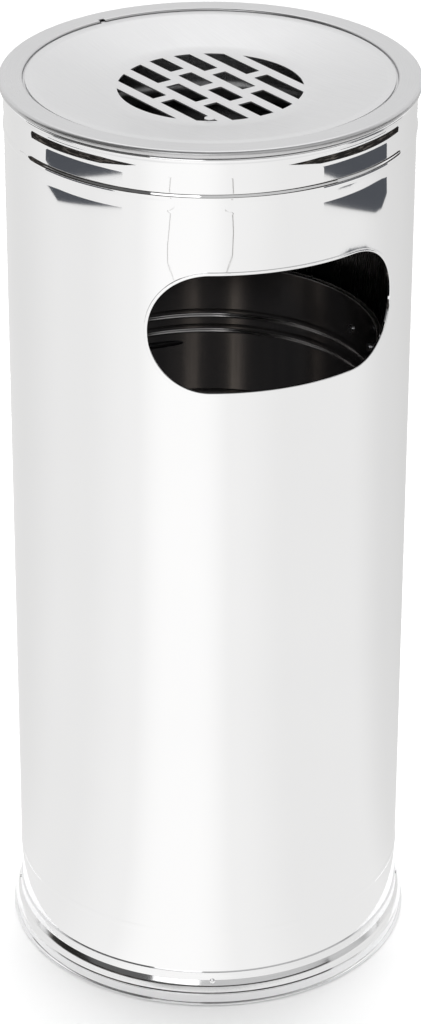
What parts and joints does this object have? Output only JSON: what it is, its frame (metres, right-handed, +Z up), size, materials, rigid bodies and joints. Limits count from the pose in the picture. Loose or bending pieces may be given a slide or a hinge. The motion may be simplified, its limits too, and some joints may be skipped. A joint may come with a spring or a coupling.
{
  "type": "ashtray bin",
  "caption": "Standing round steel ashtray bin with a side opening, a lift-off ash bowl under a slotted lid, and a lift-out liner.",
  "frame": {"origin": "middle of the foot, on the floor", "axes": "+Z up the bin's axis; -Y is the front, where the side opening is"},
  "size_m": [0.266, 0.266, 0.6],
  "materials": {
    "mirror_steel": "mirror polished stainless",
    "satin_steel": "satin stainless",
    "drawn_steel": "drawn, half gloss",
    "zinc_steel": "zinc plated",
    "black_rubber": "matt",
    "grip_plastic": "fine grain"
  },
  "bodies": {
    "bin": {"body_shell": "mirror_steel", "opening_trim": "mirror_steel", "foot_ring": "mirror_steel", "base_plate": "zinc_steel", "base_rivets": "mirror_steel", "floor_ring": "black_rubber"},
    "ash_top": {"rim_ring": "satin_steel", "ash_bowl": "drawn_steel"},
    "lid": {"grille_lid": "satin_steel"},
    "liner": {"liner_wall": "drawn_steel", "liner_bottom": "drawn_steel", "ear_right": "zinc_steel", "ear_left": "zinc_steel", "ear_rivets": "zinc_steel"},
    "bail": {"bail_wire": "zinc_steel", "bail_grip": "grip_plastic"}
  },
  "joints": [
    {"name": "ash_top_lift", "type": "slide", "parent": "bin", "child": "ash_top", "axis": [0, 0, 1], "range_m": [0, 1.1]},
    {"name": "lid_lift", "type": "slide", "parent": "ash_top", "child": "lid", "axis": [0, 0, 1], "range_m": [0, 0.12]},
    {"name": "liner_lift", "type": "slide", "parent": "bin", "child": "liner", "axis": [0, 0, 1], "range_m": [0, 0.66]},
    {"name": "bail_swing", "type": "hinge", "parent": "liner", "child": "bail", "pos_m": [0, 0, 0.404], "axis": [1, 0, 0], "range_deg": [0, 216]}
  ],
  "couplings": [
    {"joint": "liner_lift", "follows": "ash_top_lift", "ratio": 0.6}
  ]
}
